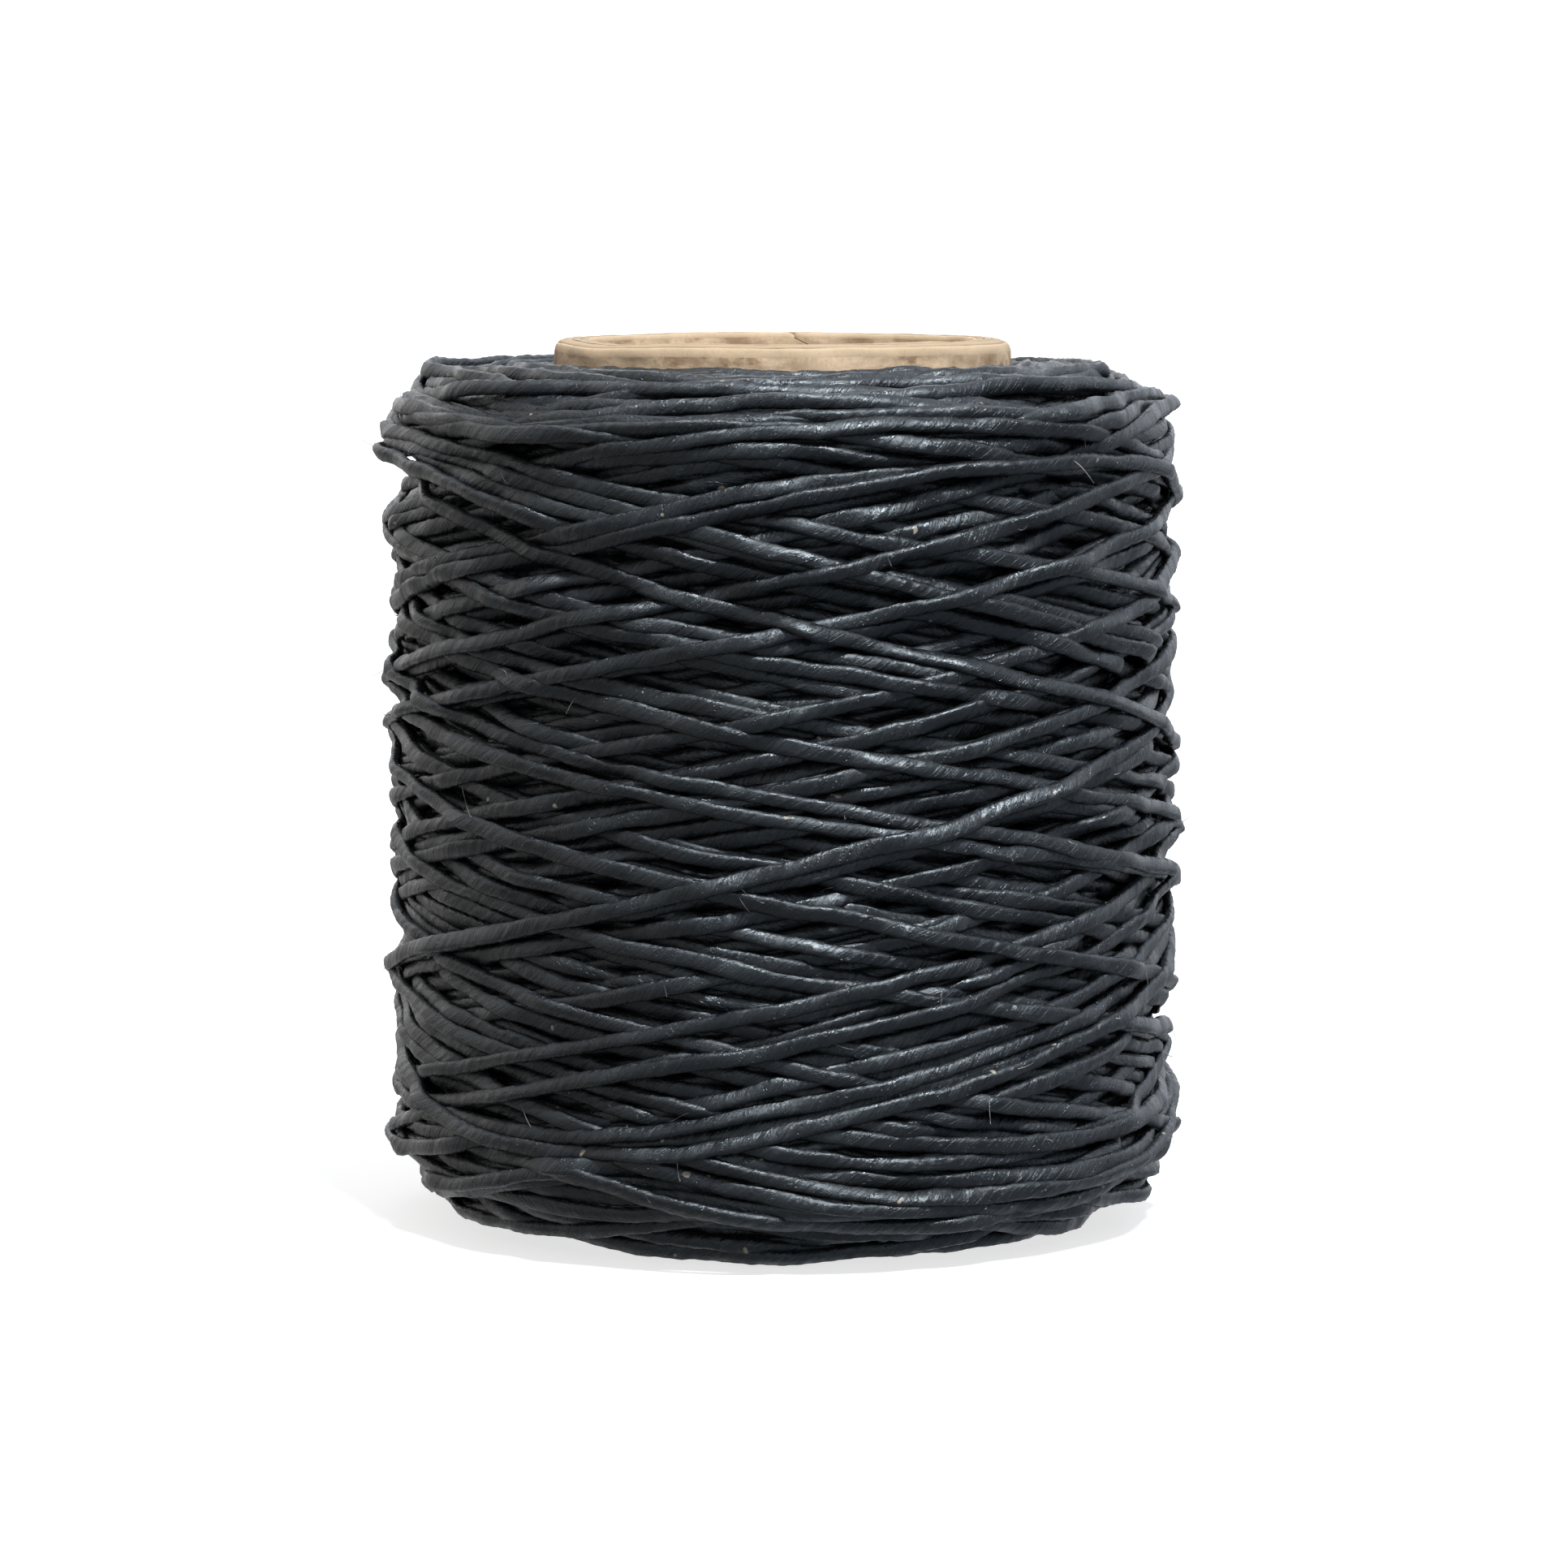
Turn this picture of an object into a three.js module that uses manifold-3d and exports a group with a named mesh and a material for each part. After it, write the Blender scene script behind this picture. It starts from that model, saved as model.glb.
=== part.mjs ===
// Waxed thread spool: a spiral-wound paper core carrying a cross-wound package
// of flat waxed thread. Millimetres, +Z up, base of the core at z = 0.

import * as THREE from "three";
import { mergeVertices } from "three/addons/utils/BufferGeometryUtils.js";
import Module from "manifold-3d";

const wasm = await Module();
wasm.setup();

// Paper core
const CORE_LENGTH = 73.5;
const CORE_OUTER_RADIUS = 19;
const CORE_INNER_RADIUS = 15.8;
const KRAFT_THICKNESS = 0.35;
const BOARD_PLY_COUNT = 4;
const GLUE_LINE = 0.04;

// Butt joints of the spiral-wound plies
const SEAM_LEAD = 62;
const SEAM_GAP = 0.4;
const SEAM_STAGGER_DEG = 74;
const LINER_SEAM_DEG = 20;
const STRIP_TIP_HEIGHT = 1.2;

// Thread package
const WINDING_OUTER_RADIUS = 32.8;
const WINDING_BOTTOM_Z = 0.2;
const WINDING_TOP_Z = 71.6;
const TOP_SHOULDER_RADIUS = 5.5;
const BOTTOM_SHOULDER_RADIUS = 9;
const TOP_SHOULDER_CUT = 0;
const BOTTOM_SHOULDER_CUT = 1.3;
const WINDING_COUNT = 5;
const LAYER_GAP = 0.06;
const CORE_TO_THREAD_GAP = 0.08;

// Thread ends
const THREAD_WIDTH = 1.3;
const THREAD_THICKNESS = 0.7;
const THREAD_CLEARANCE = 0.3;
const START_LENGTH = 26;
const START_BOTTOM_Z = 12;
const START_ANGLE_DEG = 200;
const END_LENGTH = 16;
const END_MIDDLE_Z = 30;
const END_ANGLE_DEG = 52;
const END_SLOPE_DEG = 12;
const END_DEPTH = 0.25;

// Faceting
const RING_SEGMENTS = 60;
const SHOULDER_STEPS = 4;
const THREAD_SIDES = 10;
const THREAD_STEPS = 12;

const KRAFT_BROWN = 0xb99266;
const BOARD_GREY = 0xa58a6a;
const THREAD_BLACK = 0x1b1e22;

function toRadians(degrees) {
  return THREE.MathUtils.degToRad(degrees);
}

// --- Solid helpers ---------------------------------------------------------

function toManifold(geometry) {
  const bare = geometry.clone();
  bare.deleteAttribute("normal");
  bare.deleteAttribute("uv");
  const merged = mergeVertices(bare, 1e-4);
  const mesh = new wasm.Mesh({
    numProp: 3,
    vertProperties: new Float32Array(merged.attributes.position.array),
    triVerts: new Uint32Array(merged.index.array),
  });
  return new wasm.Manifold(mesh);
}

function toGeometry(solid) {
  const mesh = solid.getMesh();
  const geometry = new THREE.BufferGeometry();
  geometry.setAttribute("position", new THREE.BufferAttribute(mesh.vertProperties, 3));
  geometry.setIndex(new THREE.BufferAttribute(mesh.triVerts, 1));
  geometry.computeVertexNormals();
  return geometry;
}

// Revolves a closed list of [radius, z] points about +Z.
function revolve(outline) {
  const closed = [...outline, outline[0]];
  const points = closed.map(([radius, z]) => new THREE.Vector2(radius, z));
  const geometry = new THREE.LatheGeometry(points, RING_SEGMENTS);
  geometry.rotateX(Math.PI / 2);
  return geometry;
}

function pointOnCylinder(radius, angle, z) {
  return new THREE.Vector3(radius * Math.cos(angle), radius * Math.sin(angle), z);
}

// Builds a closed shell from equal rings of points, capped at both ends.
function skinRings(rings) {
  const sides = rings[0].length;
  const positions = rings.flat().flatMap((point) => [point.x, point.y, point.z]);
  const index = [];
  for (let ring = 0; ring < rings.length - 1; ring += 1) {
    for (let side = 0; side < sides; side += 1) {
      const a = ring * sides + side;
      const b = ring * sides + ((side + 1) % sides);
      index.push(a, b, a + sides, b, b + sides, a + sides);
    }
  }
  const lastRing = (rings.length - 1) * sides;
  for (let side = 1; side < sides - 1; side += 1) {
    index.push(0, side + 1, side);
    index.push(lastRing, lastRing + side, lastRing + side + 1);
  }
  const geometry = new THREE.BufferGeometry();
  geometry.setAttribute("position", new THREE.Float32BufferAttribute(positions, 3));
  geometry.setIndex(index);
  return geometry;
}

// --- Paper core ------------------------------------------------------------

// Radius of a faceted ring at an angle, so that added points stay on its flats.
function facetRadius(radius, angle) {
  const facet = (2 * Math.PI) / RING_SEGMENTS;
  const within = angle - Math.floor(angle / facet) * facet - facet / 2;
  return (radius * Math.cos(facet / 2)) / Math.cos(within);
}

// Angles at which a ply needs a section: every facet edge, and each place where
// one of the strip's two edges runs out at an end of the core.
function plyAngles(seamAngle) {
  const facet = (2 * Math.PI) / RING_SEGMENTS;
  const angleAt = (edgeZ) => seamAngle + (2 * Math.PI * edgeZ) / SEAM_LEAD;
  const start = angleAt(SEAM_GAP - SEAM_LEAD + STRIP_TIP_HEIGHT);
  const end = angleAt(CORE_LENGTH - STRIP_TIP_HEIGHT);
  const topRunOut = angleAt(CORE_LENGTH - SEAM_LEAD + SEAM_GAP);
  const corners = [start, angleAt(0), topRunOut, end];
  const angles = [...corners];
  for (let number = Math.ceil(start / facet); number * facet < end; number += 1) {
    const clear = corners.every((corner) => Math.abs(corner - number * facet) > facet / 20);
    if (clear) {
      angles.push(number * facet);
    }
  }
  return angles.sort((one, other) => one - other);
}

// One helical strip, trimmed flush with both ends of the core. Its edges meet
// the next turn of itself at a narrow butt joint.
function corePly(innerRadius, outerRadius, seamAngle) {
  const rings = plyAngles(seamAngle).map((angle) => {
    const seamZ = (SEAM_LEAD * (angle - seamAngle)) / (2 * Math.PI);
    const low = Math.max(0, seamZ);
    const high = Math.min(CORE_LENGTH, seamZ + SEAM_LEAD - SEAM_GAP);
    const inner = facetRadius(innerRadius, angle);
    const outer = facetRadius(outerRadius, angle);
    return [
      pointOnCylinder(inner, angle, high),
      pointOnCylinder(outer, angle, high),
      pointOnCylinder(outer, angle, low),
      pointOnCylinder(inner, angle, low),
    ];
  });
  return skinRings(rings);
}

// Name, thickness and colour of every ply from the bore outwards.
function plyList() {
  const wall = CORE_OUTER_RADIUS - CORE_INNER_RADIUS;
  const glue = (BOARD_PLY_COUNT + 1) * GLUE_LINE;
  const boardThickness = (wall - 2 * KRAFT_THICKNESS - glue) / BOARD_PLY_COUNT;
  const boards = Array.from({ length: BOARD_PLY_COUNT }, (_, number) => ({
    name: `core_ply_${number + 1}`,
    thickness: boardThickness,
    colour: BOARD_GREY,
  }));
  return [
    { name: "core_liner", thickness: KRAFT_THICKNESS, colour: KRAFT_BROWN },
    ...boards,
    { name: "core_wrap", thickness: KRAFT_THICKNESS, colour: KRAFT_BROWN },
  ];
}

// --- Thread package --------------------------------------------------------

// Height that the rounded shoulder drops below the end face at a radius. The
// flat end face takes `cut` off the height of the shoulder's arc.
function shoulderDrop(radius, shoulderRadius, cut) {
  const inward = radius - (WINDING_OUTER_RADIUS - shoulderRadius);
  if (inward <= 0) {
    return 0;
  }
  const arc = shoulderRadius - Math.sqrt(Math.max(0, shoulderRadius ** 2 - inward ** 2));
  return Math.max(0, arc - cut);
}

// Radii at which one winding's end face needs a point.
function endFaceRadii(innerRadius, outerRadius, shoulderRadius, cut) {
  const arcStart = WINDING_OUTER_RADIUS - shoulderRadius;
  const firstTurn = Math.acos(1 - cut / shoulderRadius);
  const radii = [innerRadius];
  for (let step = 0; step < SHOULDER_STEPS * 2; step += 1) {
    const share = step / (SHOULDER_STEPS * 2);
    const turn = firstTurn + (Math.PI / 2 - firstTurn) * share;
    const radius = arcStart + shoulderRadius * Math.sin(turn);
    if (radius > innerRadius + 0.2 && radius < outerRadius - 0.1) {
      radii.push(radius);
    }
  }
  radii.push(outerRadius);
  return radii;
}

function windingLayer(innerRadius, outerRadius) {
  const bottom = [BOTTOM_SHOULDER_RADIUS, BOTTOM_SHOULDER_CUT];
  const top = [TOP_SHOULDER_RADIUS, TOP_SHOULDER_CUT];
  const low = endFaceRadii(innerRadius, outerRadius, ...bottom).map(
    (radius) => [radius, WINDING_BOTTOM_Z + shoulderDrop(radius, ...bottom)],
  );
  const high = endFaceRadii(innerRadius, outerRadius, ...top).map(
    (radius) => [radius, WINDING_TOP_Z - shoulderDrop(radius, ...top)],
  );
  return revolve([...low, ...high.reverse()]);
}

// Flat oval strand laid on a cylinder; `grow` enlarges it into its own groove.
function strandOnCylinder({ radius, angle, middleZ, length, slope, grow }) {
  const width = THREAD_WIDTH / 2 + grow;
  const thickness = THREAD_THICKNESS / 2 + grow;
  const travel = length / 2 + grow;
  const rings = [];
  for (let step = 0; step <= THREAD_STEPS; step += 1) {
    const along = -travel + (2 * travel * step) / THREAD_STEPS;
    const turn = angle + (along * Math.cos(slope)) / radius;
    const z = middleZ + along * Math.sin(slope);
    const ring = [];
    for (let side = 0; side < THREAD_SIDES; side += 1) {
      const phase = (2 * Math.PI * side) / THREAD_SIDES;
      const across = width * Math.cos(phase);
      const out = thickness * Math.sin(phase);
      const sideTurn = turn - (across * Math.sin(slope)) / radius;
      ring.push(pointOnCylinder(radius + out, sideTurn, z + across * Math.cos(slope)));
    }
    rings.push(ring);
  }
  return skinRings(rings);
}

const startStrand = {
  radius: CORE_OUTER_RADIUS + THREAD_THICKNESS / 2 + CORE_TO_THREAD_GAP,
  angle: toRadians(START_ANGLE_DEG),
  middleZ: START_BOTTOM_Z + START_LENGTH / 2,
  length: START_LENGTH,
  slope: Math.PI / 2,
};

const endStrand = {
  radius: WINDING_OUTER_RADIUS - THREAD_THICKNESS / 2 - END_DEPTH,
  angle: toRadians(END_ANGLE_DEG),
  middleZ: END_MIDDLE_Z,
  length: END_LENGTH,
  slope: toRadians(END_SLOPE_DEG),
};

function grooved(geometry, strand) {
  const groove = toManifold(strandOnCylinder({ ...strand, grow: THREAD_CLEARANCE }));
  return toGeometry(toManifold(geometry).subtract(groove));
}

// --- Assembly --------------------------------------------------------------

const group = new THREE.Group();
group.name = "waxed_thread_spool";

function addPart(name, geometry, color, roughness) {
  const material = new THREE.MeshStandardMaterial({ color, roughness, metalness: 0 });
  const mesh = new THREE.Mesh(geometry, material);
  mesh.name = name;
  group.add(mesh);
}

let plyRadius = CORE_INNER_RADIUS;
plyList().forEach((ply, number) => {
  const seamAngle = toRadians(LINER_SEAM_DEG + number * SEAM_STAGGER_DEG);
  const geometry = corePly(plyRadius, plyRadius + ply.thickness, seamAngle);
  addPart(ply.name, geometry, ply.colour, 0.9);
  plyRadius += ply.thickness + GLUE_LINE;
});

const windingInnerRadius = CORE_OUTER_RADIUS + CORE_TO_THREAD_GAP;
const layerPitch = (WINDING_OUTER_RADIUS - windingInnerRadius + LAYER_GAP) / WINDING_COUNT;
for (let number = 1; number <= WINDING_COUNT; number += 1) {
  const innerRadius = windingInnerRadius + (number - 1) * layerPitch;
  const layer = windingLayer(innerRadius, innerRadius + layerPitch - LAYER_GAP);
  let geometry = layer;
  if (number === 1) {
    geometry = grooved(layer, startStrand);
  } else if (number === WINDING_COUNT) {
    geometry = grooved(layer, endStrand);
  }
  addPart(`winding_${number}`, geometry, THREAD_BLACK, 0.45);
}

addPart("thread_start", strandOnCylinder({ ...startStrand, grow: 0 }), THREAD_BLACK, 0.45);
addPart("thread_end", strandOnCylinder({ ...endStrand, grow: 0 }), THREAD_BLACK, 0.45);

export default group;
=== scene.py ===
"""Looks of the waxed thread spool: every pass of the thread is laid on the core
in turn, and the core's plies get worn paper edges. Sizes are in metres."""

import math

import bpy
import numpy as np
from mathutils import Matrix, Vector


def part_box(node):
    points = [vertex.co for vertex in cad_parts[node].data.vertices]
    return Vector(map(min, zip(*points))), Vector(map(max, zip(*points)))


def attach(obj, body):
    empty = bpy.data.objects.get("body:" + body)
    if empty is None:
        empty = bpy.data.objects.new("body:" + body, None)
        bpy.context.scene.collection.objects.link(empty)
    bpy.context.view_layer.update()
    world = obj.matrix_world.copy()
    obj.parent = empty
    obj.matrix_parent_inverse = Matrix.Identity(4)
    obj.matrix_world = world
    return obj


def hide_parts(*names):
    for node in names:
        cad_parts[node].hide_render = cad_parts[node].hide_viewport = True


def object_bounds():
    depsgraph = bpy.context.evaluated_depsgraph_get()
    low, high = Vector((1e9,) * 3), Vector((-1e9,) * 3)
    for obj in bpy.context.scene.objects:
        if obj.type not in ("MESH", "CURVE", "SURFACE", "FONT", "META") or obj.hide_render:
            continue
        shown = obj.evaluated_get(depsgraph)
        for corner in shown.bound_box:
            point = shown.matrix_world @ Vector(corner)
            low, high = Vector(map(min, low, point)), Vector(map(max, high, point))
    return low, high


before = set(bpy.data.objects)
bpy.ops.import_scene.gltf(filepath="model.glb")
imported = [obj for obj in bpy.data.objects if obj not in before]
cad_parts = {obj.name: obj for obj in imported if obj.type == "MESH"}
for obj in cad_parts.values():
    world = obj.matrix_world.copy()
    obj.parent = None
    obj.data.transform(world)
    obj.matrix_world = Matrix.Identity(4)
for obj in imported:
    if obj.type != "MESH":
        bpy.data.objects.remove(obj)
cad_box = [list(corner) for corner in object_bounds()]

MM = 0.001
TAU = 2 * math.pi
SEED = 11

# --- Sizes taken from the frame ---------------------------------------------

core_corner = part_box("core_wrap")[1]
outer_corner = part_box("winding_5")[1]
inner_low, inner_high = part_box("winding_1")
CORE_RADIUS = core_corner.x
CORE_LENGTH = core_corner.z
PACKAGE_RADIUS = outer_corner.x
PACKAGE_BOTTOM = inner_low.z
PACKAGE_TOP = inner_high.z
WINDING_COUNT = 5

# --- Thread ------------------------------------------------------------------

THREAD_WIDTH = 1.36 * MM
THREAD_THICKNESS = 0.84 * MM
THREAD_SQUARENESS = (0.90, 0.60)
EDGE_THINNING = 0.85
PLY_COUNT = 3
PLY_LENGTH = 1.35 * MM
PLY_RELIEF = 0.035
UNEVEN_TWIST = 1.3
TWIST_SPACING = 26
# Steps of the thread between changes, with their share of width and of thickness.
UNEVENNESS = ((3, 0.07, 0.06), (8, 0.09, 0.06), (40, 0.11, -0.10))

# --- How it is wound ---------------------------------------------------------

THETA_CELLS = 512
Z_CELL = 0.25 * MM
Z_CELLS = int(CORE_LENGTH / Z_CELL) + 2
ACROSS = np.linspace(-0.5, 0.5, 7)
END_SHARE = 0.3

HELIX_ANGLE = math.radians(10.5)
HELIX_SPREAD = math.radians(1.0)
REVERSAL_SHARE = 0.075
REVERSAL_CROWDING = 1.7
TOP_REVERSALS = 3.6 * MM
BOTTOM_REVERSALS = 5.5 * MM
TRIAL_PASSES = 10
TRIAL_SPREAD = 0.12
LANDING_SHARE = 0.16
HIGH_COST = 2
LANDING_COST = 2
WANDER = 0.18 * MM
WANDER_SPACING = 55
WANDER_FADE = 60
SLIDE_LIMIT = 0.6 * MM
SLIDE_REACH = 0.55 * MM
SLIDE_SHARE = 0.5
SLIDE_WIDTH = 101
SLIDE_FADE = 80

# Of the sorted heights under the thread's width, the ones that carry it.
CARRYING = slice(-5, -1)
SETTLING = 0.14 * MM
BRIDGING_ROUNDS = 24
SMOOTHING_ROUNDS = 4
TILT_STEPS = 9
MAX_TILT = 0.45
PRESS_REACH = 24
PRESS_FROM = 2 * MM
PRESS_SHARE = (0.75, 1.10)
UNSWOLLEN_TOP = (12 * MM, 4 * MM)
PRESSED_STEPS = 9

SWAY = 0.19 * MM
SWAY_SPACING = 19
QUICK_SWAY_SPACING = 7
QUICK_SWAY_SHARE = 0.5
RIPPLE = 0.065 * MM
RIPPLE_SPACING = 11
TILT_NOISE = 0.38
TILT_SPACING = 24
FLOOR_ROOM = 0.55 * THREAD_WIDTH

TOP_SHOULDER = 5.5 * MM
BOTTOM_SHOULDER = 9.0 * MM
BOTTOM_CUT = 1.3 * MM
FIRST_SHOULDER = 1.5 * MM
SURFACE_MARGIN = 0.45 * MM
EDGE_ROOM = 0.62 * MM

START_ANGLE = math.radians(200)
START_BOTTOM = 12 * MM
START_LENGTH = 26 * MM
START_HALF_CELLS = 4
START_LIFT = 0.55 * THREAD_THICKNESS
END_ANGLE = math.radians(52)
END_HEIGHT = 30 * MM
END_LENGTH = 16 * MM

# --- Thread meshes -----------------------------------------------------------

SURFACE_DEPTH = 1.7 * MM
SEEN_SIDES = 12
HIDDEN_SIDES = 8
HIDDEN_STRIDE = 6
BARE_END = 3.5 * MM
MAX_TRIANGLES = 190000
START_RINGS = 70
BAKE_ROWS = 40
BAKE_MARGIN = 0.001
BAKE_ROW_MARGIN = 0.06

# --- Stray fibres ------------------------------------------------------------

FIBRE_COUNT = 160
FIBRE_DEPTH = 1.1 * MM
FIBRE_REACH = (0.8 * MM, 2.6 * MM)
FIBRE_RADIUS = 0.038 * MM
FIBRE_RINGS = 8
FIBRE_SIDES = 4
FIBRE_TAPER = 0.6
FIBRE_CURL = 0.7
FIBRE_AHEAD = 0.7
FIBRE_ASIDE = 0.6
FIBRE_OUTWARD = 0.35
FIBRE_LIFT = 0.5
TUFT_COUNT = 14
TUFT_REACH = (0.5 * MM, 1.6 * MM)
TUFT_DROOP = -0.2
# Where on the thread's section a fibre starts: out from its middle, and to each side.
FIBRE_ROOT = (0.4 * THREAD_THICKNESS, 0.4 * THREAD_WIDTH)

# --- Paper core --------------------------------------------------------------

CORE_BORE = 15.8 * MM
KRAFT_THICKNESS = 0.35 * MM
GLUE_LINE = 0.04 * MM
BOARD_PLIES = 4
SEAM_LEAD = 62 * MM
SEAM_GAP = 0.18 * MM
SEAM_STAGGER_DEG = 74
LINER_SEAM_DEG = 20
STRIP_TIP = 0.1 * MM
STRIP_RINGS = 400
STRIP_ROWS = 8
STRIP_EDGE = [step * MM for step in (0, 0.08, 0.22, 0.5, 0.9, 1.5, 2.4)]
RIM_STEPS = 4
EDGE_FUZZ = 0.05 * MM
EDGE_FUZZ_DEPTH = 0.5 * MM
PLY_WEAR = (0.4, 1.6)
END_WEAR_REACH = 3.4 * MM
OUTER_ROUNDING = 1.0 * MM
BORE_ROUNDING = 0.4 * MM
WAVE_DEPTH = 0.11 * MM
TOP_WAVE_TURN = 0.0735
# Dents round the core's ends: their depth, how many there are, and their turn.
DENTS = ((0.28, 2, 0.6), (0.2, 5, 2.1), (0.12, 11, 0), (0.08, 23, 1.0))
KNOCK_ANGLE = math.radians(222)
KNOCK_DEPTH = 0.20 * MM
KNOCK_SPREAD = 0.06
COVERED_BULGE = 0.01 * MM
EXPOSED_BULGE = 0.05 * MM

# --- Paper colours -----------------------------------------------------------

# The cream colour of each paper is painted light: a paler tone for the core's top, where
# light from above falls.
KRAFT = {
    "face": (0.60, 0.45, 0.30, 1),
    "stain": (0.24, 0.155, 0.09, 1),
    "lit_cream": (0.70, 0.56, 0.40, 1),
    "edge": (0.42, 0.325, 0.22, 1),
}
BOARD = {
    "face": (0.40, 0.31, 0.21, 1),
    "stain": (0.20, 0.145, 0.095, 1),
    "lit_cream": (0.42, 0.33, 0.23, 1),
    "edge": (0.35, 0.27, 0.183, 1),
}

# --- Studio and camera -------------------------------------------------------

# Brightness at heights from straight down (-1) to straight up (1), and its share
# from the camera's side (-1) to behind the object (1).
SKY = ((-1.0, 0.70), (-0.5, 0.42), (-0.15, 0.32), (0.1, 0.72), (0.6, 1.02), (1.0, 0.95))
AROUND = ((-1.0, 0.90), (-0.5, 0.45), (0.3, 0.95), (1.0, 1.5))
BACKDROP = 1.1
WARM_SIDE = (1.04, 0.95, 0.86, 1)
COOL_SIDE = (0.94, 0.99, 1.07, 1)
TINTED_SIDES = (-1, 0.2)
FLOOR_SIZE = 6
FLOOR_GREY = (0.40, 0.40, 0.40, 1)
FLOOR_GLOW = 0.72
SUN_STRENGTH = 5.2
SUN_ANGLE = math.radians(7)
SUN_TOWARDS = (0.22, -0.48, 1.0)
CAMERA_DISTANCE = 0.50
CAMERA_HEIGHT = 0.0884
CAMERA_PITCH = math.radians(5.97)
CAMERA_LENS = 137.6
CAMERA_SHIFT = (0.001, 0.0)


def smooth_noise(generator, count, spacing):
    """Random values in about -1..1 that change smoothly over `spacing` samples."""
    knots = generator.uniform(-1, 1, int(count / spacing) + 5)
    place = np.arange(count) / spacing + generator.uniform(0, 1)
    index = place.astype(int)
    blend = place - index
    blend = blend * blend * (3 - 2 * blend)
    return knots[index] * (1 - blend) + knots[index + 1] * blend


def bell(width):
    """Bell-shaped weights over `width` samples, which add up to 1."""
    weights = np.hanning(width)
    return weights / weights.sum()


def end_fade(count, reach):
    """1 along a pass, falling to 0 over `reach` steps at each of its ends."""
    step = np.arange(count)
    return np.clip(np.minimum(step, count - step) / reach, 0, 1)


def traverse(count):
    """Share of the stroke covered along one pass, eased at both reversals."""
    t = np.linspace(0, 1, count)
    ease = REVERSAL_SHARE
    speed = 1 / (1 - ease)
    middle = speed * (t - ease / 2)
    start = speed * t * t / (2 * ease)
    end = 1 - speed * (1 - t) ** 2 / (2 * ease)
    return np.where(t < ease, start, np.where(t > 1 - ease, end, middle))


def growth(radius):
    """Share of the winding that is done when the package has a radius."""
    return np.clip((radius - CORE_RADIUS) / (PACKAGE_RADIUS - CORE_RADIUS), 0, 1)


def target_surface(z, radius):
    """Radius that the package should have at height z when it is `radius` thick."""
    drop = np.zeros_like(z)
    grown = growth(radius)
    ends = (
        (PACKAGE_BOTTOM, BOTTOM_SHOULDER, BOTTOM_CUT, 1),
        (PACKAGE_TOP, TOP_SHOULDER, 0, -1),
    )
    for edge, final, cut, side in ends:
        rounding = FIRST_SHOULDER + (final - FIRST_SHOULDER) * grown
        depth = np.clip((z - edge) * side + cut * grown, 0, rounding)
        drop += rounding - np.sqrt(np.maximum(rounding**2 - (rounding - depth) ** 2, 0))
    return radius - drop


def shoulder_depth(radius, shoulder, cut):
    """Distance from the package's end at which its rounded edge has a radius."""
    drop = np.clip(PACKAGE_RADIUS - radius, SURFACE_MARGIN, shoulder)
    depth = shoulder - math.sqrt(shoulder**2 - (shoulder - drop) ** 2)
    return max(0, depth - cut)


class Package:
    """Height map of the growing package, on a cylinder unrolled by angle and z."""

    def __init__(self):
        self.height = np.full((THETA_CELLS, Z_CELLS), CORE_RADIUS)

    def cells(self, angle, z):
        """Column and row of the cell at each place."""
        column = np.round(angle / TAU * THETA_CELLS).astype(int) % THETA_CELLS
        row = np.clip(np.round(z / Z_CELL).astype(int), 0, Z_CELLS - 1)
        return column, row

    def footprint(self, angle, z, slope):
        """Heights under the thread's width, one row for each place across it."""
        radius = self.middle_radius()
        samples = []
        for across in ACROSS * THREAD_WIDTH:
            side_z = z + across * np.cos(slope)
            side_angle = angle - across * np.sin(slope) / radius
            samples.append(self.height[self.cells(side_angle, side_z)])
        return np.array(samples)

    def middle_radius(self):
        """Mean radius away from the package's ends."""
        low = int(END_SHARE * Z_CELLS)
        return self.height[:, low : Z_CELLS - low].mean()

    def lay(self, angle, z, slope):
        """Rests a thread on the package and returns its radius and its tilt."""
        under = self.footprint(angle, z, slope)
        support = np.sort(under, axis=0)[CARRYING].mean(axis=0) + THREAD_THICKNESS / 2
        support -= SETTLING
        radius = support.copy()
        chord = math.cos(TAU / THETA_CELLS)
        for _ in range(BRIDGING_ROUNDS):
            pulled = radius.copy()
            pulled[1:-1] = 0.5 * (radius[:-2] + radius[2:]) * chord
            radius = np.maximum(support, pulled)
        for _ in range(SMOOTHING_ROUNDS):
            radius[1:-1] = 0.25 * radius[:-2] + 0.5 * radius[1:-1] + 0.25 * radius[2:]
        rise = under[-2:].mean(axis=0) - under[:2].mean(axis=0)
        tilt = np.clip(np.arctan(rise / THREAD_WIDTH), -MAX_TILT, MAX_TILT)
        tilt = np.convolve(tilt, np.ones(TILT_STEPS) / TILT_STEPS, mode="same")
        for across in ACROSS * THREAD_WIDTH:
            share = 2 * across / THREAD_WIDTH
            crown = THREAD_THICKNESS / 2 * math.sqrt(1 - EDGE_THINNING * share * share)
            top = radius + crown + across * np.sin(tilt)
            column, row = self.cells(
                angle - across * np.sin(slope) / radius, z + across * np.cos(slope)
            )
            np.maximum.at(self.height, (column, row), top)
        return radius, tilt


def slide(package, angle, z):
    """Lets a taut thread slip sideways into the hollows that it crosses."""
    above = package.height[package.cells(angle, z + SLIDE_REACH)]
    below = package.height[package.cells(angle, z - SLIDE_REACH)]
    push = np.clip(below - above, -SLIDE_LIMIT, SLIDE_LIMIT)
    pushed = np.convolve(push, bell(SLIDE_WIDTH), mode="same")
    slid = z + SLIDE_SHARE * end_fade(len(z), SLIDE_FADE) * pushed
    return np.clip(slid, z.min(), z.max())


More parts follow.
